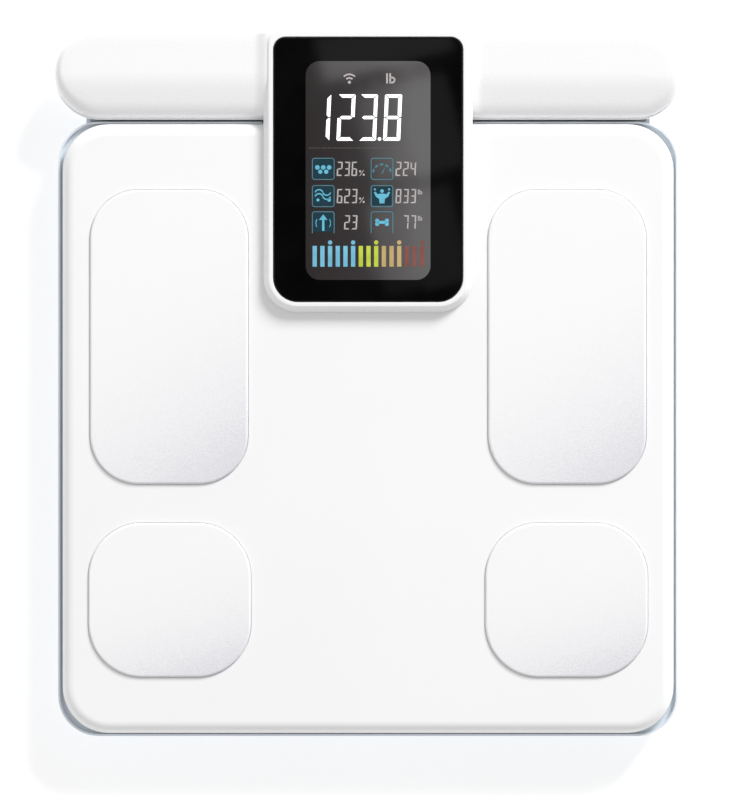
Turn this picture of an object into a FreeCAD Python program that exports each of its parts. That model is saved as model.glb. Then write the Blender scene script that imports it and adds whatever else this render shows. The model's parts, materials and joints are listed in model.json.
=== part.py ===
import FreeCAD, Part
import math
import os
import re
import Sketcher

# Digital bathroom scale with a lift-off handle display.
# Frame: millimetres, +Z up, origin on the floor under the middle of the outline.
# The user stands facing +Y, and the handle bar lies along X at the +Y end.

doc = FreeCAD.newDocument("bathroom_scale")
Vector = FreeCAD.Vector


# ---------------------------------------------------------------- driving dimensions

DIMENSIONS = [
    # top panel that the user stands on
    ("panel_width", 302), ("panel_depth", 301), ("panel_mid", -23), ("panel_corner", 23),
    ("panel_top", 26), ("panel_bottom", 17), ("panel_wall", 2.5), ("panel_round", 6),
    ("recess_floor", 18.8), ("recess_gap", 1.2), ("recess_corner", 15), ("slight_corner", 0.4),
    # base shell
    ("base_width", 306.4), ("base_depth", 303.7), ("base_mid", -23.15), ("base_corner", 20),
    ("base_bottom", 5.5), ("base_floor", 7.5), ("base_rim", 19.5), ("rim_wall", 1),
    ("base_wall", 3.6), ("base_round", 3), ("tongue_width", 280), ("tongue_depth", 50), ("tongue_back", 160),
    ("tongue_front_corner", 6), ("tongue_back_corner", 12), ("tether_notch", 8), ("tether_sill", 4),
    ("scoop_width", 16), ("scoop_depth", 8), ("scoop_corner", 3.5), ("scoop_away", 3), ("scoop_deep", 1),
    # dock cradle that the handle bar rests on
    ("cradle_width", 276), ("cradle_front", 129), ("cradle_back", 159), ("cradle_top", 10),
    ("lip_depth", 2), ("lip_top", 11.8), ("lip_round", 0.9), ("cradle_corner", 10), ("front_corner", 1),
    ("cord_bore", 3.6), ("outlet_across", 8.8), ("outlet_round", 0.4), ("cord_mid", 150),
    ("groove_width", 4), ("groove_deep", 2), ("notch_deep", 1.6),
    # foot electrodes
    ("fore_width", 77.8), ("fore_depth", 145), ("fore_x", 98.1), ("fore_y", 22.2), ("fore_corner", 24),
    ("heel_width", 80), ("heel_depth", 76), ("heel_x", 97.8), ("heel_y", -107.5), ("heel_corner", 26.5),
    ("plate_top", 27.2), ("seat_depth", 0.6), ("seat_gap", 0.4), ("plate_round", 1.1),
    ("pin_x", 70), ("pin_across", 3), ("pin_gap", 0.4), ("pin_length", 6), ("collar_across", 5),
    ("collar_thick", 1), ("collar_drop", 0.6),
    # feet and load cells
    ("foot_x", 118), ("foot_front", -140), ("foot_back", 92), ("pad_across", 32), ("pad_thick", 2.4),
    ("pad_round", 0.8), ("cup_across", 36), ("cup_top", 6), ("cup_round", 0.6), ("foot_hole", 38),
    ("stem_across", 10), ("neck_across", 4), ("neck_hole", 4.6), ("rivet_across", 6.6), ("rivet_thick", 1),
    ("rivet_gap", 0.05),
    ("cell_side", 34), ("cell_corner", 2), ("cell_thick", 3), ("cell_gap", 0.2),
    ("slot_half", 11), ("slot_width", 2), ("slot_end", 9),
    ("holder_side", 44), ("holder_corner", 4), ("holder_top", 13.5), ("well_rim", 4), ("well_corner", 3),
    ("well_room", 1.8),
    ("lead_across", 1.6), ("lead_lane", 60), ("lead_level", 8.5), ("lead_bend", 8),
    # main board, unit button
    ("board_width", 70), ("board_depth", 50), ("board_y", -20), ("board_under", 10.9), ("board_thick", 1.6),
    ("board_corner", 3), ("board_post", 5), ("post_x", 31), ("post_away", 21), ("chip_corner", 0.3),
    ("plug_x", 32), ("plug_width", 7), ("plug_depth", 6), ("plug_height", 3), ("plug_offset", 15),
    ("switch_side", 6), ("switch_height", 1.5), ("plunger_across", 3), ("plunger_out", 0.45),
    ("button_across", 7), ("button_hole", 7.4), ("button_travel", 0.8), ("button_round", 0.7),
    ("button_flange", 10), ("flange_thick", 0.5), ("flange_gap", 0.1),
    # battery bay
    ("bay_width", 46.4), ("bay_depth", 50.5), ("bay_y", -95), ("bay_roof", 18.2), ("tray_wall", 1.5),
    ("battery_across", 10.4), ("battery_body", 43.5), ("battery_nub", 1), ("battery_pitch", 11.3),
    ("battery_level", 12.8), ("battery_round", 0.5), ("nub_across", 3.8), ("contact_thick", 0.4),
    ("contact_side", 8), ("leaf_width", 6), ("fin_thick", 0.4), ("fin_short", 6),
    ("door_under", 5.7), ("door_thick", 1.6), ("door_gap", 0.2), ("door_corner", 0.8),
    ("hinge_pin", 1.2), ("hinge_hole", 1.3), ("hinge_pin_length", 2.4), ("socket_reach", 1.3),
    ("grip_groove_width", 14), ("grip_groove", 1), ("grip_groove_deep", 0.4), ("grip_groove_pitch", 2),
    # tether reel
    ("reel_y", 78), ("reel_across", 68), ("reel_wall", 2), ("reel_floor", 1.4), ("reel_top", 15.3),
    ("reel_exit_width", 6), ("reel_exit_height", 4.4), ("post_across", 7.8), ("lid_thick", 1.2),
    ("lid_hole", 7), ("lid_hole_away", 11), ("spool_under", 9.2), ("spool_top", 15), ("flange_across", 62),
    ("lower_flange", 1.2), ("upper_flange", 0.8), ("flange_hole", 6), ("flange_hole_away", 25.42),
    ("barrel_across", 40), ("barrel_bore", 36), ("spool_bore", 7.95),
    ("spring_thick", 0.3), ("spring_inner_gap", 1.2), ("spring_outer_gap", 0.8), ("spring_lift", 0.2),
    # handle bar and display housing
    ("bar_length", 310), ("bar_front", 129.6), ("bar_back", 174.5), ("bar_corner", 22.4),
    ("bar_bottom", 10), ("bar_top", 28.5), ("seam", 21), ("bar_round", 6.5), ("bar_under_round", 7),
    ("shell_wall", 2.2), ("housing_width", 98), ("housing_front", 37), ("housing_back", 175),
    ("housing_corner", 14), ("housing_top", 31), ("housing_under", 19), ("housing_round", 1.6),
    # display
    ("lens_width", 93.2), ("lens_front", 39.4), ("lens_back", 169.6), ("lens_thick", 1.2),
    ("lens_front_corner", 12), ("lens_back_corner", 6), ("lens_gap", 0.15),
    ("window_width", 61.4), ("window_depth", 107.6), ("window_y", 104), ("window_corner", 7),
    ("window_gap", 0.3), ("module_rim", 3), ("module_thick", 2.8), ("module_corner", 2),
    ("backlight_rim", 2), ("backlight_thick", 1.4), ("panel_board_width", 78), ("panel_board_depth", 120),
    ("panel_board_thick", 1.6), ("panel_board_drop", 6), ("panel_chip", 1.2),
    # hand electrodes, fasteners and magnets
    ("grip_near", 66), ("grip_far", 136), ("grip_thick", 1), ("grip_top", 19), ("grip_reach", 20),
    ("screw_head", 5.2), ("head_thick", 1.2), ("head_clearance", 0.6), ("screw_shank", 2.4),
    ("shank_clearance", 0.4), ("shank_length", 8), ("short_shank", 6), ("drive_hole", 2), ("drive_deep", 0.8),
    ("pilot_hole", 2.5), ("pilot_depth", 8), ("boss_across", 6.6), ("slim_boss", 5.8),
    ("magnet_across", 10), ("magnet_thick", 2), ("magnet_x", 110), ("magnet_y", 147), ("magnet_gap", 0.2),
    ("gland_flange", 11.2), ("gland_thick", 1.4),
    # how far one feature runs into or past another, so that faces never only just meet
    ("lap", 0.1), ("overrun", 1),
]

sheet = doc.addObject("Spreadsheet::Sheet", "dims")
for row, (alias, size) in enumerate(DIMENSIONS, start=1):
    sheet.set(f"A{row}", alias)
    sheet.set(f"B{row}", str(size))
    sheet.setAlias(f"B{row}", alias)
doc.recompute()

ALIASES = {alias for alias, _ in DIMENSIONS}


def bind(text):
    """The same formula with each dimension's name pointing at its cell."""
    def cell(word):
        return "dims." + word[0] if word[0] in ALIASES else word[0]

    return re.sub(r"[a-z][a-z_]*", cell, str(text))


def number(text):
    """What a formula is worth now."""
    return float(sheet.evalExpression(bind(text)))


# ---------------------------------------------------------------- sketches

def new_body(label):
    body = doc.addObject("PartDesign::Body", label)
    body.Label = label
    body.AllowCompound = True
    return body


def new_sketch(body, plane, place):
    """A sketch on one of the body's own origin planes, moved by place along that plane's axes."""
    sketch = body.newObject("Sketcher::SketchObject", body.Label + "_sketch")
    support = next(item for item in body.Origin.OriginFeatures if item.Role == plane)
    sketch.AttachmentSupport = [(support, "")]
    sketch.MapMode = "FlatFace"
    for axis, formula in zip("xyz", place):
        sketch.setExpression(f".AttachmentOffset.Base.{axis}", bind(formula))
    return sketch


def dimension(sketch, kind, *where, formula):
    """A driving constraint whose size is bound to the sheet."""
    index = sketch.addConstraint(Sketcher.Constraint(kind, *where, number(formula)))
    sketch.setExpression(f"Constraints[{index}]", bind(formula))


def add_rounded_rectangle(sketch, width, depth, front_radius, back_radius):
    """A rectangle centred on the sketch with rounded corners: lines on even ids, arcs on odd ids."""
    first = sketch.GeometryCount
    half_w, half_d = number(width) / 2, number(depth) / 2
    front, back = number(front_radius), number(back_radius)
    radii = (front, back, back, front)
    signs = ((1, -1), (1, 1), (-1, 1), (-1, -1))
    centres = [(sx * (half_w - r), sy * (half_d - r)) for (sx, sy), r in zip(signs, radii)]
    for k, (centre, radius) in enumerate(zip(centres, radii)):
        before = centres[k - 1]
        turn = math.radians(90 * k - 90)
        out = (math.cos(turn), math.sin(turn))
        start = Vector(before[0] + out[0] * radii[k - 1], before[1] + out[1] * radii[k - 1], 0)
        end = Vector(centre[0] + out[0] * radius, centre[1] + out[1] * radius, 0)
        sketch.addGeometry(Part.LineSegment(start, end))
        circle = Part.Circle(Vector(*centre, 0), Vector(0, 0, 1), radius)
        sketch.addGeometry(Part.ArcOfCircle(circle, turn, turn + math.pi / 2))
    for k in range(4):
        line, arc, following = first + 2 * k, first + 2 * k + 1, first + (2 * k + 2) % 8
        sketch.addConstraint(Sketcher.Constraint("Tangent", line, 2, arc, 1))
        sketch.addConstraint(Sketcher.Constraint("Tangent", arc, 2, following, 1))
        sketch.addConstraint(Sketcher.Constraint("Vertical" if k % 2 else "Horizontal", line))
    dimension(sketch, "DistanceY", first, 1, formula=f"-({depth})/2")
    dimension(sketch, "DistanceX", first + 2, 1, formula=f"({width})/2")
    dimension(sketch, "DistanceY", first + 4, 1, formula=f"({depth})/2")
    dimension(sketch, "DistanceX", first + 6, 1, formula=f"-({width})/2")
    for arc, radius in ((1, front_radius), (3, back_radius), (5, back_radius), (7, front_radius)):
        dimension(sketch, "Radius", first + arc, formula=radius)


def rounded_rectangle(body, width, depth, radius, x=0, y=0, z=0, back_radius=None):
    sketch = new_sketch(body, "XY_Plane", (x, y, z))
    add_rounded_rectangle(sketch, width, depth, radius, back_radius or radius)
    return sketch


def circles(body, across, centres, z):
    """Circles of one size on a level plane, at (x, y) formulas."""
    sketch = new_sketch(body, "XY_Plane", (0, 0, z))
    for index, (x, y) in enumerate(centres):
        centre = Vector(number(x), number(y), 0)
        sketch.addGeometry(Part.Circle(centre, Vector(0, 0, 1), number(across) / 2))
        dimension(sketch, "Diameter", index, formula=across)
        dimension(sketch, "DistanceX", index, 3, formula=x)
        dimension(sketch, "DistanceY", index, 3, formula=y)
    return sketch


def outline(body, points, plane="XY_Plane", place=(0, 0, 0)):
    """A closed outline of straight lines through (u, v) formulas."""
    sketch = new_sketch(body, plane, place)
    corners = [Vector(number(u), number(v), 0) for u, v in points]
    count = len(corners)
    for k in range(count):
        sketch.addGeometry(Part.LineSegment(corners[k], corners[(k + 1) % count]))
    for k, (u, v) in enumerate(points):
        sketch.addConstraint(Sketcher.Constraint("Coincident", k, 2, (k + 1) % count, 1))
        dimension(sketch, "DistanceX", k, 1, formula=u)
        dimension(sketch, "DistanceY", k, 1, formula=v)
    return sketch


def rectangle(body, x_low, x_high, y_low, y_high, z):
    points = [(x_low, y_low), (x_high, y_low), (x_high, y_high), (x_low, y_high)]
    return outline(body, points, place=(0, 0, z))


# ---------------------------------------------------------------- features

def pad(body, sketch, length, midplane=False):
    feature = body.newObject("PartDesign::Pad", body.Label + "_pad")
    feature.Profile = sketch
    feature.Midplane = midplane
    feature.setExpression("Length", bind(length))
    doc.recompute()
    return feature


def pocket(body, sketch, length, upwards=False):
    """A cut below the sketch, or above it. It has to take something away."""
    before = body.Shape.Volume
    feature = body.newObject("PartDesign::Pocket", body.Label + "_pocket")
    feature.Profile = sketch
    feature.Reversed = upwards
    feature.setExpression("Length", bind(length))
    doc.recompute()
    if body.Shape.Volume > before - 1e-3:
        raise SystemExit(f"a pocket in {body.Label} cuts nothing")
    return feature


def fillet(body, radius, chosen):
    """Rounds the edges of the body's tip that the function chosen accepts."""
    base = body.Tip
    names = [f"Edge{k}" for k, edge in enumerate(base.Shape.Edges, start=1) if chosen(edge)]
    feature = body.newObject("PartDesign::Fillet", body.Label + "_fillet")
    feature.Base = (base, names)
    feature.setExpression("Radius", bind(radius))
    doc.recompute()
    return feature


def at_height(formula):
    """Accepts edges that lie level at a height."""
    height = number(formula)

    def test(edge):
        box = edge.BoundBox
        return abs(box.ZMin - height) < 1e-4 and abs(box.ZMax - height) < 1e-4

    return test


def slab(label, width, depth, radius, low, high, x=0, y=0, back_radius=None):
    """A body that starts as one rounded plate between two heights."""
    body = new_body(label)
    pad(body, rounded_rectangle(body, width, depth, radius, x, y, low, back_radius), f"{high}-({low})")
    return body


def disc(label, across, centres, low, high):
    """A body that starts as one or more round plates between two heights."""
    body = new_body(label)
    pad(body, circles(body, across, centres, low), f"{high}-({low})")
    return body


parts = []

SIDES = (("left", -1), ("right", 1))
ENDS = (("front", "foot_front"), ("back", "foot_back"))
BASE_BOSSES = [(f"{s}*{x}", y) for s in (-1, 1) for x, y in ((140, -23), (80, -23), (45, -155), (75, 115))]
BAR_BOSSES = [(f"{s}*{x}", "cord_mid+2") for s in (-1, 1) for x in (57, 143)]
HOUSING_BOSSES = [(f"{s}*42.6", "housing_front+13") for s in (-1, 1)]


# ---------------------------------------------------------------- top panel and foot electrodes

def make_top_panel():
    body = slab("top_panel", "panel_width", "panel_depth", "panel_corner", "panel_bottom", "panel_top",
                y="panel_mid")
    fillet(body, "panel_round", at_height("panel_top"))
    inside = rounded_rectangle(body, "panel_width-2*panel_wall", "panel_depth-2*panel_wall",
                               "panel_corner-panel_wall", y="panel_mid", z="panel_bottom")
    pocket(body, inside, "panel_top-panel_wall-panel_bottom", upwards=True)
    # the recess that the display housing lies in: a tub below the plate, open at the head edge
    head = "panel_mid+panel_depth/2"
    near = "housing_front-recess_gap"
    tub_wall = "(recess_floor-panel_bottom)"
    tub = rounded_rectangle(body, f"housing_width+2*recess_gap+2*{tub_wall}", f"{head}-({near})+{tub_wall}",
                            f"recess_corner+{tub_wall}", y=f"({head}+{near}-{tub_wall})/2", z="panel_bottom",
                            back_radius="slight_corner")
    pad(body, tub, "panel_top-panel_wall-panel_bottom+lap")
    hollow = rounded_rectangle(body, "housing_width+2*recess_gap", f"{head}-({near})+overrun",
                               "recess_corner", y=f"({head}+{near}+overrun)/2", z="panel_top",
                               back_radius="slight_corner")
    pocket(body, hollow, "panel_top-recess_floor")
    # seats for the four electrodes, and a hole for each contact pin
    for sign in (-1, 1):
        for name in ("fore", "heel"):
            seat = rounded_rectangle(body, f"{name}_width+2*seat_gap", f"{name}_depth+2*seat_gap",
                                     f"{name}_corner+seat_gap", f"{sign}*{name}_x", f"{name}_y", "panel_top")
            pocket(body, seat, "seat_depth")
    pins = [(f"{sign}*pin_x", f"{name}_y") for sign in (-1, 1) for name in ("fore", "heel")]
    pocket(body, circles(body, "pin_across+pin_gap", pins, "panel_top"), "panel_wall+lap")
    # screw bosses down to the base floor
    pad(body, circles(body, "boss_across", BASE_BOSSES, "base_floor"), "panel_top-panel_wall-base_floor+lap")
    pocket(body, circles(body, "pilot_hole", BASE_BOSSES, "base_floor"), "pilot_depth", upwards=True)
    parts.append(body)


def make_foot_electrodes():
    for side, sign in SIDES:
        for label, name in (("forefoot", "fore"), ("heel", "heel")):
            body = slab(f"electrode_{label}_{side}", f"{name}_width", f"{name}_depth", f"{name}_corner",
                        "panel_top-seat_depth", "plate_top", f"{sign}*{name}_x", f"{name}_y")
            fillet(body, "plate_round", at_height("plate_top"))
            parts.append(body)
    pins = [(f"{sign}*pin_x", f"{name}_y") for sign in (-1, 1) for name in ("fore", "heel")]
    top = "panel_top-seat_depth"
    body = disc("electrode_contact_pins", "pin_across", pins, f"{top}-pin_length", top)
    collar = circles(body, "collar_across", pins, "panel_top-panel_wall-collar_drop-collar_thick")
    pad(body, collar, "collar_thick")
    parts.append(body)


# ---------------------------------------------------------------- base shell and dock

def make_base_shell():
    body = slab("base_shell", "base_width", "base_depth", "base_corner", "base_bottom", "base_rim",
                y="base_mid")
    fillet(body, "base_round", at_height("base_bottom"))
    for wall, top, floor in (("rim_wall", "base_rim", "panel_bottom"),
                             ("base_wall", "panel_bottom", "base_floor")):
        inside = rounded_rectangle(body, f"base_width-2*{wall}", f"base_depth-2*{wall}",
                                   f"base_corner-{wall}", y="base_mid", z=top)
        pocket(body, inside, f"{top}-{floor}")
    # the tongue under the handle bar
    tongue = rounded_rectangle(body, "tongue_width", "tongue_depth", "tongue_front_corner",
                               y="tongue_back-tongue_depth/2", z="base_bottom",
                               back_radius="tongue_back_corner")
    pad(body, tongue, "base_floor-base_bottom")
    # the head wall makes room for the display housing's recess and for the tether
    head = "base_mid+base_depth/2"
    half = "housing_width/2+2*recess_gap+overrun"
    wall_span = (f"{head}-base_wall-overrun", f"{head}+overrun")
    pocket(body, rectangle(body, f"-({half})", half, *wall_span, "base_rim"), "base_rim-panel_bottom")
    notch = rectangle(body, "-tether_notch/2", "tether_notch/2", *wall_span, "base_floor+tether_sill")
    pocket(body, notch, "tether_sill")
    # openings in the floor
    feet = [(f"{sign}*foot_x", end) for sign in (-1, 1) for _, end in ENDS]
    pocket(body, circles(body, "foot_hole", feet, "base_floor"), "base_floor-base_bottom")
    bay = rounded_rectangle(body, "bay_width", "bay_depth", "front_corner", y="bay_y", z="base_floor")
    pocket(body, bay, "base_floor-base_bottom")
    pocket(body, circles(body, "button_hole", [(0, "board_y")], "base_floor"), "base_floor-base_bottom")
    pocket(body, circles(body, "screw_head+head_clearance", BASE_BOSSES, "base_bottom"), "head_thick+lap",
           upwards=True)
    pocket(body, circles(body, "screw_shank+shank_clearance", BASE_BOSSES, "base_floor"), "overrun")
    # a thumb scoop in front of the battery door's free edge
    scoop = rounded_rectangle(body, "scoop_width", "scoop_depth", "scoop_corner",
                              y="bay_y+bay_depth/2+scoop_away", z="base_bottom")
    pocket(body, scoop, "scoop_deep", upwards=True)
    # sockets for the battery door's hinge pins
    sockets = new_sketch(body, "YZ_Plane", ("bay_y-bay_depth/2+door_gap+door_thick/2",
                                            "door_under+door_thick/2", "-bay_width/2-socket_reach"))
    sockets.addGeometry(Part.Circle(Vector(0, 0, 0), Vector(0, 0, 1), number("hinge_hole") / 2))
    dimension(sockets, "Diameter", 0, formula="hinge_hole")
    sockets.addConstraint(Sketcher.Constraint("Coincident", 0, 3, -1, 1))
    pocket(body, sockets, "bay_width+2*socket_reach", upwards=True)
    # posts under the main board
    posts = [("-post_x", "board_y"), ("post_x", "board_y"),
             (0, "board_y-post_away"), (0, "board_y+post_away")]
    pad(body, circles(body, "board_post", posts, "base_floor"), "board_under-base_floor")
    parts.append(body)


def make_dock():
    body = slab("dock_cradle", "cradle_width", "cradle_back-cradle_front", "front_corner", "base_floor",
                "cradle_top", y="(cradle_back+cradle_front)/2", back_radius="cradle_corner")
    lip = rounded_rectangle(body, "cradle_width", "lip_depth", "lip_round", y="cradle_front+lip_depth/2",
                            z="cradle_top-lap")
    pad(body, lip, "lip_top-cradle_top+lap")
    magnets = [(f"{sign}*magnet_x", "magnet_y") for sign in (-1, 1)]
    seats = circles(body, "magnet_across+magnet_gap", magnets, "base_floor")
    pocket(body, seats, "magnet_thick", upwards=True)
    groove = rectangle(body, "-groove_width/2", "groove_width/2", "cradle_front", "cord_mid", "base_floor")
    pocket(body, groove, "groove_deep", upwards=True)
    outlet = circles(body, "outlet_across+magnet_gap", [(0, "cord_mid")], "lip_top")
    pocket(body, outlet, "lip_top-base_floor")
    parts.append(body)
    parts.append(disc("dock_magnets", "magnet_across", magnets, "base_floor", "base_floor+magnet_thick"))
    grommet = disc("cable_outlet_grommet", "outlet_across", [(0, "cord_mid")], "base_floor", "cradle_top")
    pocket(grommet, circles(grommet, "cord_bore", [(0, "cord_mid")], "cradle_top"), "cradle_top-base_floor")
    bore = number("cord_bore")
    fillet(grommet, "outlet_round",
           lambda edge: at_height("cradle_top")(edge) and edge.BoundBox.XLength < bore + 1)
    notch = rectangle(grommet, "-cord_bore/2", "cord_bore/2", "cord_mid-outlet_across/2-overrun", "cord_mid",
                      "base_floor")
    pocket(grommet, notch, "notch_deep", upwards=True)
    parts.append(grommet)


def make_base_screws():
    under = "base_bottom+lap"
    body = disc("base_screws", "screw_head", BASE_BOSSES, under, f"{under}+head_thick")
    pad(body, circles(body, "screw_shank", BASE_BOSSES, f"{under}+head_thick"), "shank_length")
    pocket(body, circles(body, "drive_hole", BASE_BOSSES, under), "drive_deep", upwards=True)
    parts.append(body)


# ---------------------------------------------------------------- feet, load cells and leads

def make_feet():
    """Each foot bears on its load cell, and a rivet head above the cell's tongue holds it there."""
    rivet_under = "base_floor+cell_thick+rivet_gap"
    for end, y in ENDS:
        for side, sign in SIDES:
            centre = [(f"{sign}*foot_x", y)]
            rubber = disc(f"foot_pad_{end}_{side}", "pad_across", centre, 0, "pad_thick")
            fillet(rubber, "pad_round", at_height(0))
            parts.append(rubber)
            cup = disc(f"foot_cup_{end}_{side}", "cup_across", centre, "pad_thick", "cup_top")
            fillet(cup, "cup_round", at_height("pad_thick"))
            pad(cup, circles(cup, "stem_across", centre, "cup_top"), "base_floor-cup_top")
            pad(cup, circles(cup, "neck_across", centre, "base_floor"), f"{rivet_under}-base_floor")
            pad(cup, circles(cup, "rivet_across", centre, rivet_under), "rivet_thick")
            parts.append(cup)


def make_load_cells():
    for end, y in ENDS:
        for side, sign in SIDES:
            x = f"{sign}*foot_x"
            holder = slab(f"load_cell_holder_{end}_{side}", "holder_side", "holder_side", "holder_corner",
                          "base_floor", "holder_top", x, y)
            nest = rounded_rectangle(holder, "cell_side+2*cell_gap", "cell_side+2*cell_gap",
                                     "cell_corner", x, y, "base_floor")
            pocket(holder, nest, "cell_thick", upwards=True)
            well = rounded_rectangle(holder, "cell_side-2*well_rim", "cell_side-2*well_rim",
                                     "well_corner", x, y, "base_floor")
            pocket(holder, well, "cell_thick+well_room", upwards=True)
            parts.append(holder)
            cell = slab(f"load_cell_{end}_{side}", "cell_side", "cell_side", "cell_corner",
                        "base_floor", "base_floor+cell_thick", x, y)
            # the slot that frees the middle tongue to bend
            far, near = "slot_half", "(slot_half-slot_width)"
            slot = [(f"-{far}", "slot_end"), (f"-{far}", f"-{far}"),
                    (far, f"-{far}"), (far, "slot_end"), (near, "slot_end"), (near, f"-{near}"),
                    (f"-{near}", f"-{near}"), (f"-{near}", "slot_end")]
            points = [(f"{x}+({u})", f"{y}+({v})") for u, v in slot]
            top = "base_floor+cell_thick"
            pocket(cell, outline(cell, points, place=(0, 0, top)), "cell_thick")
            pocket(cell, circles(cell, "neck_hole", [(x, y)], top), "cell_thick")
            parts.append(cell)


def add_bend(path, index, before, after, centre, radius):
    """A tangent arc between the ends of two lines of a path. Sketch arcs always run anticlockwise."""
    start = path.Geometry[before].EndPoint - centre
    end = path.Geometry[after].StartPoint - centre
    left_turn = start.cross(end).z > 0
    first, last = (start, end) if left_turn else (end, start)
    angle = math.atan2(first.y, first.x)
    circle = Part.Circle(centre, Vector(0, 0, 1), number(radius))
    path.addGeometry(Part.ArcOfCircle(circle, angle, angle + first.getAngle(last)))
    near, far = (1, 2) if left_turn else (2, 1)
    path.addConstraint(Sketcher.Constraint("Tangent", before, 2, index, near))
    path.addConstraint(Sketcher.Constraint("Tangent", index, far, after, 1))
    dimension(path, "Radius", index, formula=radius)


def make_lead(end, side, sign, y):
    """A lead laid along the base floor: from its load cell inwards, along a lane, and in to the board."""
    body = new_body(f"load_cell_lead_{end}_{side}")
    start_x = f"{sign}*(foot_x-holder_side/2)"
    lane_x = f"{sign}*lead_lane"
    end_x = f"{sign}*(plug_x+plug_width/2)"
    end_y = "board_y-plug_offset" if end == "front" else "board_y+plug_offset"
    bend = number("lead_bend")
    first_x, middle_x, last_x = number(start_x), number(lane_x), number(end_x)
    first_y, last_y = number(y), number(end_y)
    along = math.copysign(bend, last_y - first_y)
    path = new_sketch(body, "XY_Plane", (0, 0, "lead_level"))
    for x_from, y_from, x_to, y_to in (
            (first_x, first_y, middle_x + sign * bend, first_y),
            (middle_x, first_y + along, middle_x, last_y - along),
            (middle_x - sign * bend, last_y, last_x, last_y)):
        path.addGeometry(Part.LineSegment(Vector(x_from, y_from, 0), Vector(x_to, y_to, 0)))
    for line, kind in enumerate(("Horizontal", "Vertical", "Horizontal")):
        path.addConstraint(Sketcher.Constraint(kind, line))
    add_bend(path, 3, 0, 1, Vector(middle_x + sign * bend, first_y + along, 0), "lead_bend")
    add_bend(path, 4, 1, 2, Vector(middle_x - sign * bend, last_y - along, 0), "lead_bend")
    dimension(path, "DistanceX", 0, 1, formula=start_x)
    dimension(path, "DistanceY", 0, 1, formula=y)
    dimension(path, "DistanceX", 1, 1, formula=lane_x)
    dimension(path, "DistanceX", 2, 2, formula=end_x)
    dimension(path, "DistanceY", 2, 2, formula=end_y)
    section = new_sketch(body, "YZ_Plane", (y, "lead_level", start_x))
    section.addGeometry(Part.Circle(Vector(0, 0, 0), Vector(0, 0, 1), number("lead_across") / 2))
    section.addConstraint(Sketcher.Constraint("Coincident", 0, 3, -1, 1))
    dimension(section, "Diameter", 0, formula="lead_across")
    pipe = body.newObject("PartDesign::AdditivePipe", body.Label + "_pipe")
    pipe.Profile = section
    pipe.Spine = (path, [])
    doc.recompute()
    length = path.Shape.Length
    ideal = math.pi * number("lead_across") ** 2 / 4 * length
    if abs(body.Shape.Volume / ideal - 1) > 0.01:
        raise SystemExit(f"{body.Label}: volume {body.Shape.Volume:.1f}, section times length {ideal:.1f}")
    print(f"{body.Label}: {length:.1f} mm long, bends of {bend:.0f} mm")
    parts.append(body)


# ---------------------------------------------------------------- main board and unit button

def make_main_board():
    body = slab("main_circuit_board", "board_width", "board_depth", "board_corner", "board_under",
                "board_under+board_thick", y="board_y")
    # chips and connectors: middle x and y from the board's middle, width, depth and height
    for x, y, width, depth, height in ((-14, 8, 12, 12, 1.4), (10, 12, 8, 5, 1.2), (18, -10, 9, 7, 2.4),
                                       (-20, -14, 6, 5, 1.8), (0, -8, 14, 4, 1)):
        chip = rounded_rectangle(body, width, depth, "chip_corner", x, f"board_y+({y})",
                                 "board_under+board_thick")
        pad(body, chip, height)
    for sign in (-1, 1):
        for offset in (-1, 1):
            plug = rounded_rectangle(body, "plug_width", "plug_depth", "slight_corner", f"{sign}*plug_x",
                                     f"board_y+({offset})*plug_offset", "board_under-plug_height")
            pad(body, plug, "plug_height")
    parts.append(body)
    middle = [(0, "board_y")]
    switch = slab("unit_switch", "switch_side", "switch_side", "slight_corner", "board_under-switch_height",
                  "board_under", y="board_y")
    plunger = circles(switch, "plunger_across", middle, "board_under-switch_height-plunger_out")
    pad(switch, plunger, "plunger_out")
    parts.append(switch)
    button = disc("unit_button", "button_across", middle, "base_bottom-button_travel",
                  "base_floor+flange_gap")
    fillet(button, "button_round", at_height("base_bottom-button_travel"))
    pad(button, circles(button, "button_flange", middle, "base_floor+flange_gap"), "flange_thick")
    parts.append(button)


# ---------------------------------------------------------------- battery bay

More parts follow.
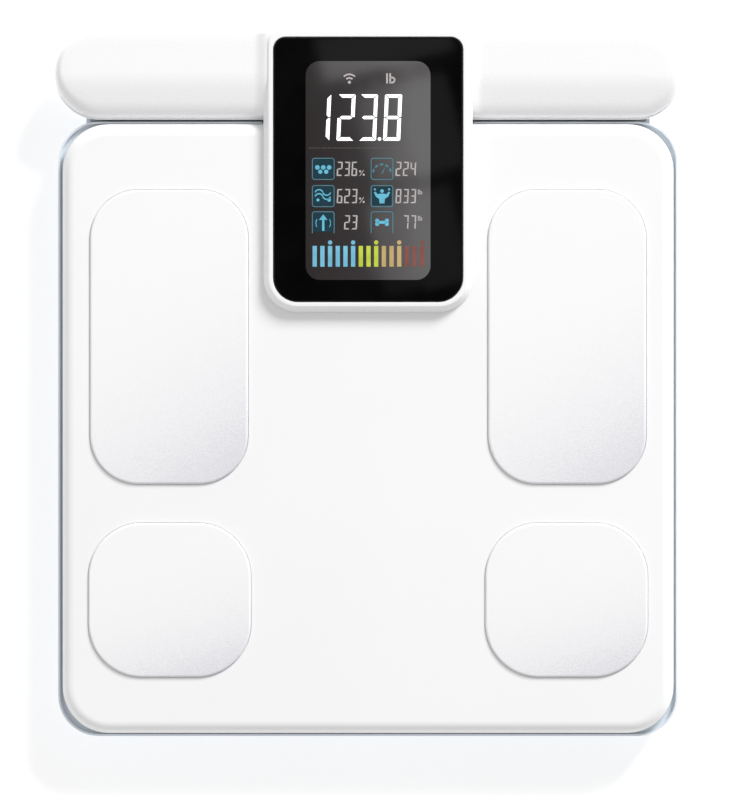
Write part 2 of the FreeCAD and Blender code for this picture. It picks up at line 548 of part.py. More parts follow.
def make_battery_bay():
    tray = slab("battery_tray", "bay_width+2*tray_wall", "bay_depth+2*tray_wall", "tray_wall",
                "base_floor", "bay_roof+tray_wall", y="bay_y")
    inside = rounded_rectangle(tray, "bay_width", "bay_depth", "slight_corner", y="bay_y", z="base_floor")
    pocket(tray, inside, "bay_roof-base_floor", upwards=True)
    for gap in (-1, 0, 1):
        fin = rectangle(tray, f"{gap}*battery_pitch-fin_thick/2", f"{gap}*battery_pitch+fin_thick/2",
                        "bay_y-bay_depth/2+fin_short", "bay_y+bay_depth/2-fin_short", "battery_level")
        pad(tray, fin, "bay_roof-battery_level+lap")
    parts.append(tray)

    door = slab("battery_door", "bay_width-2*door_gap", "bay_depth-2*door_gap", "door_corner",
                "door_under", "door_under+door_thick", y="bay_y")
    hinge_y = number("bay_y-bay_depth/2+door_gap")
    half_width = number("bay_width/2")
    fillet(door, "door_thick/2-lap/10",
           lambda edge: edge.BoundBox.YMax < hinge_y + 1e-4 and edge.BoundBox.XLength > half_width)
    for sign in (-1, 1):
        pin = new_sketch(door, "YZ_Plane", ("bay_y-bay_depth/2+door_gap+door_thick/2",
                                            "door_under+door_thick/2", f"{sign}*(bay_width/2-lap)"))
        pin.addGeometry(Part.Circle(Vector(0, 0, 0), Vector(0, 0, 1), number("hinge_pin") / 2))
        dimension(pin, "Diameter", 0, formula="hinge_pin")
        pin.addConstraint(Sketcher.Constraint("Coincident", 0, 3, -1, 1))
        pad(door, pin, "hinge_pin_length", midplane=True)
    # three grip grooves near the free edge
    for k in range(3):
        groove = rounded_rectangle(door, "grip_groove_width", "grip_groove", "slight_corner",
                                   y=f"bay_y+bay_depth/2-grip_groove-{k + 1}*grip_groove_pitch",
                                   z="door_under")
        pocket(door, groove, "grip_groove_deep", upwards=True)
    parts.append(door)


def battery_x(index):
    return f"({index}-1.5)*battery_pitch"


def make_batteries():
    """Four cells lie side by side along Y and alternate in direction."""
    contact_low = "bay_y-bay_depth/2"
    contact_high = "bay_y+bay_depth/2"
    plates = new_body("battery_contact_plates")
    springs = new_body("battery_springs")
    # a leaf spring's bent strip: (distance from its plate, height from the cell's middle)
    leaf = [(0, -3.6), (5.1, -0.8), (5.1, 0.8), (0, 3.6), (0, 3.1), (4.7, 0.55), (4.7, -0.55), (0, -3.1)]
    for index in range(4):
        towards = 1 if index % 2 else -1
        nub_end = contact_high if towards > 0 else contact_low
        spring_end = contact_low if towards > 0 else contact_high
        x = battery_x(index)
        cell = new_body(f"battery_cell_{index + 1}")
        middle = f"({nub_end}-({towards})*(contact_thick+battery_nub+battery_body/2))"
        section = new_sketch(cell, "XZ_Plane", (x, "battery_level", f"-{middle}"))
        section.addGeometry(Part.Circle(Vector(0, 0, 0), Vector(0, 0, 1), number("battery_across") / 2))
        dimension(section, "Diameter", 0, formula="battery_across")
        section.addConstraint(Sketcher.Constraint("Coincident", 0, 3, -1, 1))
        pad(cell, section, "battery_body", midplane=True)
        fillet(cell, "battery_round", lambda edge: True)
        nub = new_sketch(cell, "XZ_Plane", (x, "battery_level",
                                            f"-({nub_end}-({towards})*(contact_thick+battery_nub))"))
        nub.addGeometry(Part.Circle(Vector(0, 0, 0), Vector(0, 0, 1), number("nub_across") / 2))
        dimension(nub, "Diameter", 0, formula="nub_across")
        nub.addConstraint(Sketcher.Constraint("Coincident", 0, 3, -1, 1))
        pad(cell, nub, "2*battery_nub", midplane=True)
        parts.append(cell)
        for end, inwards in ((nub_end, -towards), (spring_end, towards)):
            middle = f"({end}+({inwards})*contact_thick/2)"
            blade = rectangle(plates, f"{x}-contact_side/2", f"{x}+contact_side/2",
                              f"{middle}-contact_thick/2", f"{middle}+contact_thick/2",
                              "battery_level-contact_side/2")
            pad(plates, blade, "contact_side")
        strip = [(f"{spring_end}+({towards})*(contact_thick+{out})", f"battery_level+({up})")
                 for out, up in leaf]
        pad(springs, outline(springs, strip, "YZ_Plane", (0, 0, x)), "leaf_width", midplane=True)
    parts.append(plates)
    parts.append(springs)


# ---------------------------------------------------------------- tether reel

def make_reel():
    middle = [(0, "reel_y")]
    housing = disc("reel_housing", "reel_across", middle, "base_floor", "reel_top")
    inside = circles(housing, "reel_across-2*reel_wall", middle, "reel_top")
    pocket(housing, inside, "reel_top-base_floor-reel_floor")
    pad(housing, circles(housing, "post_across", middle, "base_floor"), "reel_top-base_floor")
    exit_slot = rectangle(housing, "-reel_exit_width/2", "reel_exit_width/2",
                          "reel_y+reel_across/2-2*reel_wall", "reel_y+reel_across/2+overrun",
                          "reel_top-overrun")
    pocket(housing, exit_slot, "reel_exit_height")
    parts.append(housing)

    drum = disc("spool_drum", "flange_across", middle, "spool_under", "spool_under+lower_flange")
    pad(drum, circles(drum, "barrel_across", middle, "spool_under+lower_flange"),
        "spool_top-spool_under-lower_flange-upper_flange")
    pad(drum, circles(drum, "flange_across", middle, "spool_top-upper_flange"), "upper_flange")
    pocket(drum, circles(drum, "barrel_bore", middle, "spool_top"), "spool_top-spool_under-lower_flange")
    pocket(drum, circles(drum, "spool_bore", middle, "spool_top"), "spool_top-spool_under")
    around = [(f"flange_hole_away*cos({angle})", f"reel_y+flange_hole_away*sin({angle})")
              for angle in range(0, 360, 45)]
    pocket(drum, circles(drum, "flange_hole", around, "spool_top"), "upper_flange")
    parts.append(drum)

    lid = disc("reel_lid", "reel_across", middle, "reel_top", "reel_top+lid_thick")
    windows = [("-lid_hole_away", "reel_y"), ("lid_hole_away", "reel_y"),
               (0, "reel_y-lid_hole_away"), (0, "reel_y+lid_hole_away")]
    pocket(lid, circles(lid, "lid_hole", windows, "reel_top+lid_thick"), "lid_thick")
    parts.append(lid)
    make_spiral_spring()


def make_spiral_spring():
    """A flat steel strip wound in half turns about two centres, from near the post out to the barrel."""
    inner = number("post_across/2+spring_inner_gap")
    outer = number("barrel_bore/2-spring_outer_gap")
    thick = number("spring_thick")
    half_turns = 12
    step = (outer - inner) / half_turns
    near, far = [], []
    for k in range(half_turns):
        side = 1 if k % 2 == 0 else -1
        centre = Vector(0 if side > 0 else step, 0, 0)
        for edges, radius in ((near, inner + k * step), (far, inner + k * step + thick)):
            start = centre + Vector(side * radius, 0, 0)
            middle = centre + Vector(0, side * radius, 0)
            end = centre - Vector(side * radius, 0, 0)
            edges.append(Part.Arc(start, middle, end).toShape())
    first = Part.makeLine(Vector(inner, 0, 0), Vector(inner + thick, 0, 0))
    last = Part.makeLine(near[-1].lastVertex().Point, far[-1].lastVertex().Point)
    strip = Part.Face(Part.Wire(Part.sortEdges(near + far + [first, last])[0]))
    spring = doc.addObject("Part::Feature", "spiral_spring")
    spring.Label = "spiral_spring"
    height = number("spool_top-spool_under-lower_flange-upper_flange")
    spring.Shape = strip.extrude(Vector(0, 0, height))
    base = Vector(0, number("reel_y"), number("spool_under+lower_flange+spring_lift"))
    spring.Placement = FreeCAD.Placement(base, FreeCAD.Rotation())
    parts.append(spring)


# ---------------------------------------------------------------- handle

BAR_MID = "(bar_front+bar_back)/2"
HOUSING_MID = "(housing_front+housing_back)/2"
HOUSING_DEPTH = "(housing_back-housing_front)"


def make_handle_top():
    body = slab("handle_top_shell", "bar_length", "bar_back-bar_front", "bar_corner", "seam", "bar_top",
                y=BAR_MID)
    fillet(body, "bar_round", at_height("bar_top"))
    block = rounded_rectangle(body, "housing_width", HOUSING_DEPTH, "housing_corner", y=HOUSING_MID, z="seam")
    pad(body, block, "housing_top-seam")
    fillet(body, "housing_round", at_height("housing_top"))
    inside = rounded_rectangle(body, "bar_length-2*shell_wall", "bar_back-bar_front-2*shell_wall",
                               "bar_corner-shell_wall", y=BAR_MID, z="seam")
    pocket(body, inside, "bar_top-shell_wall-seam", upwards=True)
    room = rounded_rectangle(body, "housing_width-2*shell_wall", f"{HOUSING_DEPTH}-2*shell_wall",
                             "housing_corner-shell_wall", y=HOUSING_MID, z="seam")
    pocket(body, room, "housing_top-shell_wall-seam", upwards=True)
    # the lens lies in a shallow recess over the opening for the display
    seat = rounded_rectangle(body, "lens_width+2*lens_gap", "lens_back-lens_front+2*lens_gap",
                             "lens_front_corner+lens_gap", y="(lens_front+lens_back)/2", z="housing_top",
                             back_radius="lens_back_corner+lens_gap")
    pocket(body, seat, "lens_thick")
    opening = rounded_rectangle(body, "window_width+2*window_gap", "window_depth+2*window_gap",
                                "window_corner", y="window_y", z="housing_top")
    pocket(body, opening, "shell_wall+lap")
    floor = "bar_bottom+shell_wall+lap"
    pad(body, circles(body, "boss_across", BAR_BOSSES, floor), f"bar_top-shell_wall+lap-({floor})")
    pad(body, circles(body, "slim_boss", HOUSING_BOSSES, "seam+lap"), "housing_top-shell_wall-seam")
    pocket(body, circles(body, "pilot_hole", BAR_BOSSES, floor), "pilot_depth+overrun", upwards=True)
    pocket(body, circles(body, "pilot_hole", HOUSING_BOSSES, "seam+lap"), "short_shank", upwards=True)
    parts.append(body)


def bar_lower(label, inset):
    """The lower half of the bar, drawn in by inset all over except at the seam."""
    body = slab(label, f"bar_length-2*{inset}", f"bar_back-bar_front-2*{inset}", f"bar_corner-{inset}",
                f"bar_bottom+{inset}", "seam", y=BAR_MID)
    fillet(body, f"bar_under_round-{inset}", at_height(f"bar_bottom+{inset}"))
    return body


def make_hand_electrodes():
    """Four curved plates let into the lower edges of the bar, two under each hand."""
    skin = doc.addObject("Part::Cut", "grip_skin")
    skin.Base = bar_lower("grip_outer", "0")
    skin.Tool = bar_lower("grip_inner", "grip_thick")
    plates = []
    for side, sign in SIDES:
        for face, low, high in (("finger", "bar_front-overrun", "bar_front+grip_reach-overrun"),
                                ("thumb", "bar_back-grip_reach-overrun", "bar_back+overrun")):
            box = doc.addObject("Part::Box", f"grip_box_{face}_{side}")
            box.setExpression("Length", bind("grip_far-grip_near"))
            box.setExpression("Width", bind(f"{high}-({low})"))
            box.setExpression("Height", bind("grip_top-bar_bottom+overrun"))
            box.setExpression(".Placement.Base.x", bind("grip_near" if sign > 0 else "-grip_far"))
            box.setExpression(".Placement.Base.y", bind(low))
            box.setExpression(".Placement.Base.z", bind("bar_bottom-overrun"))
            plate = doc.addObject("Part::Common", f"hand_electrode_{face}_{side}")
            plate.Label = f"hand_electrode_{face}_{side}"
            plate.Base = skin
            plate.Tool = box
            plates.append(plate)
    doc.recompute()
    parts.extend(plates)
    return plates


def make_handle_bottom(plates):
    body = slab("handle_bottom_blank", "housing_width", "bar_front-housing_front+bar_round",
                "housing_corner", "housing_under", "seam", y="(bar_front+bar_round+housing_front)/2",
                back_radius="front_corner")
    bar = rounded_rectangle(body, "bar_length", "bar_back-bar_front", "bar_corner", y=BAR_MID, z="bar_bottom")
    pad(body, bar, "seam-bar_bottom")
    fillet(body, "bar_under_round", at_height("bar_bottom"))
    inside = rounded_rectangle(body, "bar_length-2*shell_wall", "bar_back-bar_front-2*shell_wall",
                               "bar_corner-shell_wall", y=BAR_MID, z="seam")
    pocket(body, inside, "seam-bar_bottom-shell_wall")
    for bosses, under in ((BAR_BOSSES, "bar_bottom"), (HOUSING_BOSSES, "housing_under")):
        heads = circles(body, "screw_head+head_clearance", bosses, under)
        pocket(body, heads, "head_thick+2*lap", upwards=True)
        shanks = circles(body, "screw_shank+shank_clearance", bosses, f"{under}+shell_wall")
        pocket(body, shanks, "shell_wall")
    inlet = circles(body, "outlet_across+magnet_gap", [(0, "cord_mid")], "bar_bottom+shell_wall+lap")
    pocket(body, inlet, "shell_wall+lap")
    tools = doc.addObject("Part::Compound", "grip_plates")
    tools.Links = plates
    shell = doc.addObject("Part::Cut", "handle_bottom_shell")
    shell.Label = "handle_bottom_shell"
    shell.Base = body
    shell.Tool = tools
    doc.recompute()
    parts.append(shell)


def make_handle_small_parts():
    middle = [(0, "cord_mid")]
    floor = "bar_bottom+shell_wall"
    gland = disc("cord_inlet_gland", "outlet_across", middle, "bar_bottom+2*lap", floor)
    pad(gland, circles(gland, "gland_flange", middle, floor), "gland_thick")
    pocket(gland, circles(gland, "cord_bore", middle, f"{floor}+gland_thick"), "shell_wall+gland_thick")
    parts.append(gland)
    magnets = [(f"{sign}*magnet_x", "magnet_y") for sign in (-1, 1)]
    parts.append(disc("handle_magnets", "magnet_across", magnets, floor, f"{floor}+magnet_thick"))
    screws = new_body("handle_screws")
    for bosses, under, length in ((BAR_BOSSES, "bar_bottom+2*lap", "shank_length"),
                                  (HOUSING_BOSSES, "housing_under+2*lap", "short_shank-lap")):
        pad(screws, circles(screws, "screw_head", bosses, under), "head_thick")
        pad(screws, circles(screws, "screw_shank", bosses, f"{under}+head_thick"), length)
        pocket(screws, circles(screws, "drive_hole", bosses, under), "drive_deep", upwards=True)
    parts.append(screws)


def make_display():
    lens = slab("display_lens", "lens_width", "lens_back-lens_front", "lens_front_corner",
                "housing_top-lens_thick", "housing_top", y="(lens_front+lens_back)/2",
                back_radius="lens_back_corner")
    parts.append(lens)
    under = "housing_top-shell_wall"
    module = slab("lcd_module", "window_width+2*module_rim", "window_depth+2*module_rim", "module_corner",
                  f"{under}-module_thick", under, y="window_y")
    raised = rounded_rectangle(module, "window_width", "window_depth", "window_corner", y="window_y",
                               z=f"{under}-lap")
    pad(module, raised, "shell_wall-lens_thick")
    parts.append(module)
    backlight = slab("display_backlight", "window_width+2*backlight_rim", "window_depth+2*backlight_rim",
                     "module_corner", f"{under}-module_thick-backlight_thick", f"{under}-module_thick",
                     y="window_y")
    parts.append(backlight)
    low = f"{under}-panel_board_drop"
    board = slab("display_board", "panel_board_width", "panel_board_depth", "board_corner", low,
                 f"{low}+panel_board_thick", y="window_y")
    # chips on the board's underside: middle x and y from the window's middle, width and depth
    for x, y, width, depth in ((-16, -30, 12, 12), (14, -24, 9, 9), (-6, 22, 16, 6)):
        chip = rounded_rectangle(board, width, depth, "chip_corner", x, f"window_y+({y})",
                                 f"{low}-panel_chip")
        pad(board, chip, "panel_chip")
    parts.append(board)


# ---------------------------------------------------------------- build, check and write

make_top_panel()
make_foot_electrodes()
make_base_shell()
make_dock()
make_base_screws()
make_feet()
make_load_cells()
for end_name, end_y in ENDS:
    for side_name, side_sign in SIDES:
        make_lead(end_name, side_name, side_sign, end_y)
make_main_board()
make_battery_bay()
make_batteries()
make_reel()
make_handle_top()
make_handle_bottom(make_hand_electrodes())
make_handle_small_parts()
make_display()
doc.recompute()

for item in doc.Objects:
    if "Invalid" in item.State or "Error" in item.State:
        raise SystemExit(f"{item.Label} did not compute: {item.State}")

os.makedirs("parts", exist_ok=True)
for part in parts:
    if part.Shape.isNull() or not part.Shape.isValid():
        raise SystemExit(f"{part.Label} has a bad shape")
for part in parts:
    part.Shape.exportStep(f"parts/{part.Label}.step")
print(f"{len(parts)} sub-parts written")
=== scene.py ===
import json
import math

import bmesh
import bpy
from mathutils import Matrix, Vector


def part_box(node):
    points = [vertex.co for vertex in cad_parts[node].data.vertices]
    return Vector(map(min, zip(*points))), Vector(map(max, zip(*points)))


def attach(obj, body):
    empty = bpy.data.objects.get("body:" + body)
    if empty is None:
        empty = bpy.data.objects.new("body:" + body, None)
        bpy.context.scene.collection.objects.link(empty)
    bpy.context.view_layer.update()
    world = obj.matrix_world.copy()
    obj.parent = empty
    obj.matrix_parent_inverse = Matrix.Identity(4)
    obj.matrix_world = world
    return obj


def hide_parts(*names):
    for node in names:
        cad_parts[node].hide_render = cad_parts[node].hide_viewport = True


# A digital bathroom scale: four steel electrode pads on a white panel, and a lift-off handle with a display.
# Lengths below are in millimetres and are turned into metres by MM.

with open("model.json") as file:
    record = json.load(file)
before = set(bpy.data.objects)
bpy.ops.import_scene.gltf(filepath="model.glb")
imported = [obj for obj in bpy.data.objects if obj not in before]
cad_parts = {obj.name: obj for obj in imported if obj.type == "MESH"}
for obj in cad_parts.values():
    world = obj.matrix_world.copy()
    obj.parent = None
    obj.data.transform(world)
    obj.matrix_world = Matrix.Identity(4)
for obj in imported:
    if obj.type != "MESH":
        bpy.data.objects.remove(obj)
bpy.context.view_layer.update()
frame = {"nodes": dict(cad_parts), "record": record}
MM = 0.001


# ---------------------------------------------------------------- places read from the frame

def span(node):
    """A node's box in millimetres: lowest x, highest x, lowest y, highest y, lowest z, highest z."""
    low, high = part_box(node)
    return tuple(value / MM for pair in zip(low, high) for value in pair)


LENS = span("display_lens")
WINDOW_WIDTH = 61.4
WINDOW_DEPTH = 107.6
WINDOW_MIDDLE = (LENS[0] + LENS[1]) / 2, (LENS[2] + LENS[3]) / 2 - 0.5


# ---------------------------------------------------------------- shader helpers

# Noise mostly lies between these two values.
NOISE_LOW, NOISE_HIGH = 0.3, 0.7
GRAIN_RELIEF = 0.0001


def new_material(name):
    material = bpy.data.materials.new(name)
    material.use_nodes = True
    tree = material.node_tree
    return material, tree, tree.nodes["Principled BSDF"]


def object_noise(tree, scale, detail=2.0, roughness=0.5):
    """Noise fixed to the object, whose scale is features per metre."""
    place = tree.nodes.new("ShaderNodeTexCoord")
    noise = tree.nodes.new("ShaderNodeTexNoise")
    noise.inputs["Scale"].default_value = scale
    noise.inputs["Detail"].default_value = detail
    noise.inputs["Roughness"].default_value = roughness
    tree.links.new(place.outputs["Object"], noise.inputs["Vector"])
    return noise.outputs["Fac"]


def ramp(tree, value, stops):
    """A colour ramp through (position, colour) stops."""
    node = tree.nodes.new("ShaderNodeValToRGB")
    elements = node.color_ramp.elements
    while len(elements) < len(stops):
        elements.new(0.5)
    for element, (position, colour) in zip(elements, stops):
        element.position = position
        element.color = (*colour, 1.0)
    tree.links.new(value, node.inputs["Fac"])
    return node.outputs["Color"]


def tint_between(tree, noise, low, high):
    """A colour that drifts from low to high with the noise."""
    return ramp(tree, noise, [(NOISE_LOW, low), (NOISE_HIGH, high)])


def box_place(tree):
    """X, Y and Z across an object's own box, each from 0 to 1; in a world they are the direction."""
    place = tree.nodes.new("ShaderNodeTexCoord")
    split = tree.nodes.new("ShaderNodeSeparateXYZ")
    tree.links.new(place.outputs["Generated"], split.inputs["Vector"])
    return split.outputs


def multiply_add(tree, value, factor, addend):
    node = tree.nodes.new("ShaderNodeMath")
    node.operation = "MULTIPLY_ADD"
    node.inputs[1].default_value = factor
    tree.links.new(value, node.inputs[0])
    tree.links.new(addend, node.inputs[2])
    return node.outputs["Value"]


def spread(tree, noise, low, high):
    """Takes noise to a value from low to high."""
    node = tree.nodes.new("ShaderNodeMapRange")
    node.inputs["From Min"].default_value = NOISE_LOW
    node.inputs["From Max"].default_value = NOISE_HIGH
    node.inputs["To Min"].default_value = low
    node.inputs["To Max"].default_value = high
    tree.links.new(noise, node.inputs["Value"])
    return node.outputs["Result"]


def add_bump(tree, shader, height, strength, distance=GRAIN_RELIEF):
    bump = tree.nodes.new("ShaderNodeBump")
    bump.inputs["Strength"].default_value = strength
    bump.inputs["Distance"].default_value = distance
    tree.links.new(height, bump.inputs["Height"])
    tree.links.new(bump.outputs["Normal"], shader.inputs["Normal"])


def moulded(name, colour, rough, grain=900.0, depth=0.15, tint=0.03, coat=0.0):
    """Moulded plastic: faint large-scale colour drift, an uneven gloss and a fine grain."""
    material, tree, shader = new_material(name)
    drift = object_noise(tree, 9.0, 3.0)
    low = [max(0.0, c * (1 - tint)) for c in colour]
    high = [min(1.0, c * (1 + tint * 0.4)) for c in colour]
    tree.links.new(tint_between(tree, drift, low, high), shader.inputs["Base Color"])
    fine = object_noise(tree, grain, 2.0)
    tree.links.new(spread(tree, fine, rough * 0.9, rough * 1.12), shader.inputs["Roughness"])
    add_bump(tree, shader, fine, depth)
    shader.inputs["Coat Weight"].default_value = coat
    shader.inputs["Coat Roughness"].default_value = 0.12
    return material


def metal(name, colour, rough, grain=1500.0, depth=0.1, stretch=None):
    """Metal with a fine grain, drawn out along one axis where stretch is given."""
    material, tree, shader = new_material(name)
    place = tree.nodes.new("ShaderNodeTexCoord")
    mapping = tree.nodes.new("ShaderNodeMapping")
    mapping.inputs["Scale"].default_value = stretch or (1.0, 1.0, 1.0)
    noise = tree.nodes.new("ShaderNodeTexNoise")
    noise.inputs["Scale"].default_value = grain
    noise.inputs["Detail"].default_value = 2.0
    tree.links.new(place.outputs["Object"], mapping.inputs["Vector"])
    tree.links.new(mapping.outputs["Vector"], noise.inputs["Vector"])
    grain_value = noise.outputs["Fac"]
    low = [c * 0.93 for c in colour]
    tree.links.new(tint_between(tree, grain_value, low, colour), shader.inputs["Base Color"])
    tree.links.new(spread(tree, grain_value, rough * 0.85, rough * 1.2), shader.inputs["Roughness"])
    shader.inputs["Metallic"].default_value = 1.0
    add_bump(tree, shader, grain_value, depth)
    return material


# ---------------------------------------------------------------- materials

def electrode_material():
    """Pale bead-blasted steel with painted shade: near white at the head and left, a little greyer and grainier
    at the heel.
    """
    material, tree, shader = new_material("electrode_satin")
    place = box_place(tree)
    # Painted shade: the plate's colour greys towards the heel and the right of its box.
    fall = multiply_add(tree, place["X"], -0.35, place["Y"])
    speckle = object_noise(tree, 1700.0, 3.0, 0.7)
    colour = ramp(tree, multiply_add(tree, speckle, 0.9, fall),
                  [(0.16, (0.73, 0.73, 0.77)), (0.42, (0.88, 0.88, 0.9)), (0.7, (0.94, 0.94, 0.945)),
                   (1.0, (0.96, 0.96, 0.96))])
    tree.links.new(colour, shader.inputs["Base Color"])
    shader.inputs["Metallic"].default_value = 0.08
    tree.links.new(spread(tree, speckle, 0.38, 0.52), shader.inputs["Roughness"])
    add_bump(tree, shader, speckle, 0.25)
    return material


def black_glass_material():
    """Polished glass over black paint."""
    material, tree, shader = new_material("black_glass")
    haze = object_noise(tree, 40.0, 3.0)
    paint = tint_between(tree, haze, (0.0012, 0.0012, 0.0014), (0.003, 0.0028, 0.003))
    tree.links.new(paint, shader.inputs["Base Color"])
    tree.links.new(spread(tree, haze, 0.03, 0.038), shader.inputs["Roughness"])
    shader.inputs["Specular IOR Level"].default_value = 0.22
    return material


def window_material():
    """The unlit display behind smoked glass: a dark warm grey, with a painted reflection that makes it lighter
    towards the right.
    """
    material, tree, shader = new_material("display_window")
    haze = object_noise(tree, 55.0, 2.0)
    # Painted reflection: the colour lightens towards the right of the window's box.
    colour = ramp(tree, multiply_add(tree, haze, 0.25, box_place(tree)["X"]),
                  [(0.1, (0.03, 0.0255, 0.026)), (0.6, (0.042, 0.037, 0.038)), (1.0, (0.092, 0.088, 0.088))])
    tree.links.new(colour, shader.inputs["Base Color"])
    tree.links.new(spread(tree, haze, 0.034, 0.044), shader.inputs["Roughness"])
    shader.inputs["Specular IOR Level"].default_value = 1.0
    shader.inputs["Coat Weight"].default_value = 0.9
    shader.inputs["Coat Roughness"].default_value = 0.04
    return material


def lit(name, colour, strength):
    """A lit display segment: even, with a slight fall in brightness from cell to cell."""
    material, tree, shader = new_material(name)
    drift = object_noise(tree, 160.0, 1.0)
    shade = tint_between(tree, drift, [c * 0.82 for c in colour], colour)
    tree.links.new(shade, shader.inputs["Base Color"])
    tree.links.new(shade, shader.inputs["Emission Color"])
    shader.inputs["Emission Strength"].default_value = strength
    shader.inputs["Roughness"].default_value = 0.3
    return material


def battery_material():
    """A printed foil jacket with a light band at one end."""
    material, tree, shader = new_material("battery_jacket")
    colour = ramp(tree, box_place(tree)["Y"],
                  [(0.0, (0.6, 0.6, 0.62)), (0.03, (0.03, 0.09, 0.14)), (0.7, (0.04, 0.12, 0.18)),
                   (0.72, (0.55, 0.5, 0.36)), (0.97, (0.6, 0.55, 0.4))])
    tree.links.new(colour, shader.inputs["Base Color"])
    tree.links.new(spread(tree, object_noise(tree, 700.0), 0.25, 0.4), shader.inputs["Roughness"])
    shader.inputs["Metallic"].default_value = 0.6
    return material


def board_material():
    """Green solder mask with the faint relief of tracks under it."""
    material, tree, shader = new_material("circuit_board")
    place = tree.nodes.new("ShaderNodeTexCoord")
    tracks = tree.nodes.new("ShaderNodeTexBrick")
    tracks.inputs["Scale"].default_value = 260.0
    tracks.inputs["Mortar Size"].default_value = 0.04
    tracks.inputs["Color1"].default_value = (0.012, 0.12, 0.05, 1)
    tracks.inputs["Color2"].default_value = (0.015, 0.15, 0.06, 1)
    tracks.inputs["Mortar"].default_value = (0.03, 0.22, 0.1, 1)
    tree.links.new(place.outputs["Object"], tracks.inputs["Vector"])
    tree.links.new(tracks.outputs["Color"], shader.inputs["Base Color"])
    shader.inputs["Roughness"].default_value = 0.35
    add_bump(tree, shader, tracks.outputs["Fac"], 0.2, 0.00005)
    return material


MATERIALS = {
    "panel_white": moulded("panel_white", (0.93, 0.93, 0.935), 0.32, grain=1400.0, depth=0.05, tint=0.012),
    "shell_white": moulded("shell_white", (0.935, 0.935, 0.945), 0.28, grain=1400.0, depth=0.015, tint=0.006,
                           coat=0.15),
    "base_blue_grey": moulded("base_blue_grey", (0.75, 0.81, 0.87), 0.4, grain=1100.0, depth=0.2, tint=0.04),
    "electrode_satin": electrode_material(),
    "hand_electrode_steel": metal("hand_electrode_steel", (0.72, 0.72, 0.74), 0.3, stretch=(0.05, 1, 1)),
    "black_glass": black_glass_material(),
    "lcd_glass": moulded("lcd_glass", (0.05, 0.05, 0.05), 0.15, tint=0.1),
    "backlight_white": moulded("backlight_white", (0.8, 0.82, 0.83), 0.5),
    "circuit_board": board_material(),
    "switch_black": moulded("switch_black", (0.03, 0.03, 0.03), 0.45),
    "rubber_black": moulded("rubber_black", (0.035, 0.035, 0.037), 0.75, grain=700.0, depth=0.4, tint=0.15),
    "foot_plastic": moulded("foot_plastic", (0.6, 0.62, 0.65), 0.5, depth=0.2),
    "load_cell_steel": metal("load_cell_steel", (0.55, 0.56, 0.58), 0.35),
    "lead_red": moulded("lead_red", (0.4, 0.03, 0.03), 0.4, depth=0.1),
    "tray_plastic": moulded("tray_plastic", (0.08, 0.085, 0.09), 0.5, depth=0.2),
    "battery_jacket": battery_material(),
    "contact_nickel": metal("contact_nickel", (0.72, 0.7, 0.65), 0.2),
    "spring_steel": metal("spring_steel", (0.35, 0.36, 0.4), 0.3),
    "magnet_nickel": metal("magnet_nickel", (0.65, 0.65, 0.66), 0.15),
    "screw_zinc": metal("screw_zinc", (0.6, 0.6, 0.62), 0.3),
}

for entry in frame["record"]["subparts"]:
    node = frame["nodes"][entry["node"]]
    node.data.materials.clear()
    node.data.materials.append(MATERIALS[entry["material_slot"]])

# The dock's floor lies in the shade of the bar; its colour is made darker than the base's as painted shade for
# the gap under the bar.
cradle = frame["nodes"]["dock_cradle"]
cradle.data.materials.clear()
cradle.data.materials.append(moulded("cradle_painted_shade", (0.4, 0.41, 0.43), 0.5, grain=1100.0, depth=0.2))


# ---------------------------------------------------------------- mesh helpers

SHARP_ANGLE = math.radians(30)
SQUARE_RADIUS = 0.05


def finish_piece(name, mesh, material, slot, *replaced):
    """Names and shades a piece of the handle, and hides the CAD parts it replaces; the slot it is given is not
    used.
    """
    piece = bpy.data.objects.new(name, mesh)
    bpy.context.scene.collection.objects.link(piece)
    mesh.materials.append(material)
    mesh.shade_smooth()
    mesh.set_sharp_from_angle(angle=SHARP_ANGLE)
    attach(piece, "handle")
    if replaced:
        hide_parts(*replaced)
    return piece


def rounded_outline(x_low, x_high, y_low, y_high, front, back, steps=14, along=1, square_end=None):
    """Points anticlockwise round a rectangle with rounded corners, in millimetres.

    The runs along X have as many steps as along says, and a square end keeps its two corners sharp.
    """
    corners = ((x_high, y_low, 1, -1, front), (x_high, y_high, 1, 1, back),
               (x_low, y_high, -1, 1, back), (x_low, y_low, -1, -1, front))
    points = []
    for k, (x, y, sx, sy, radius) in enumerate(corners):
        radius = SQUARE_RADIUS if square_end == sx else max(radius, SQUARE_RADIUS)
        centre_x, centre_y = x - sx * radius, y - sy * radius
        first = (centre_x + radius * math.cos(math.radians(90 * k - 90)),
                 centre_y + radius * math.sin(math.radians(90 * k - 90)))
        if k % 2 == 0 and points:
            before = points[-1]
            points += [(before[0] + (first[0] - before[0]) * n / along, before[1]) for n in range(1, along)]
        for step in range(steps + 1):
            angle = math.radians(90 * (k - 1) + 90 * step / steps)
            points.append((centre_x + radius * math.cos(angle), centre_y + radius * math.sin(angle)))
    before, first = points[-1], points[0]
    points += [(before[0] + (first[0] - before[0]) * n / along, before[1]) for n in range(1, along)]
    return points


def strip_cap(work, ring, ends):
    """Closes a ring that is the same on both sides, from side to side.

    The number given as ends is the index of the last point of its right end.
    """
    count = len(ring)
    for k in range(ends // 2):
        work.faces.new((ring[k], ring[k + 1], ring[ends - 1 - k], ring[ends - k]))
    for k in range((count - ends - 1) // 2):
        work.faces.new((ring[ends + k], ring[ends + k + 1], ring[count - 1 - k], ring[(count - k) % count]))


def add_walls(work, lower, upper):
    """Joins two rings with equally many points by a band of faces."""
    for k in range(len(lower)):
        after = (k + 1) % len(lower)
        work.faces.new((lower[k], lower[after], upper[after], upper[k]))


def into_mesh(work, name):
    mesh = bpy.data.meshes.new(name)
    work.to_mesh(mesh)
    work.free()
    return mesh


